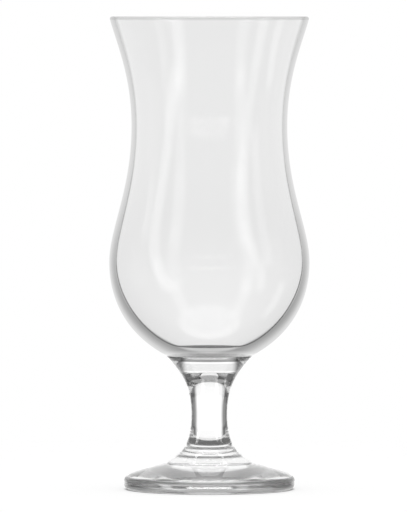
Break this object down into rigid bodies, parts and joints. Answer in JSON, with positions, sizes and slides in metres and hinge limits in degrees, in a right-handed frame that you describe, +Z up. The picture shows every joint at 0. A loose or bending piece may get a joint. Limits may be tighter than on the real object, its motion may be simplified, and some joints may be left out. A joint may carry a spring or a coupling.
{
  "type": "cocktail glass",
  "caption": "Tall clear cocktail glass with a flared rim, narrow waist and round belly on a short solid stem and a round domed foot; holds a mixed drink.",
  "frame": {"origin": "centre of the foot's contact ring, on the surface that the glass stands on", "axes": "+Z up along the axis of the glass, through foot, stem and bowl; the glass is round, so X and Y are free"},
  "size_m": [0.0852, 0.0852, 0.201],
  "materials": {
    "clear_glass": "polished, colourless and clear"
  },
  "bodies": {
    "root": {"foot": "clear_glass", "stem": "clear_glass", "bowl": "clear_glass"}
  },
  "joints": []
}
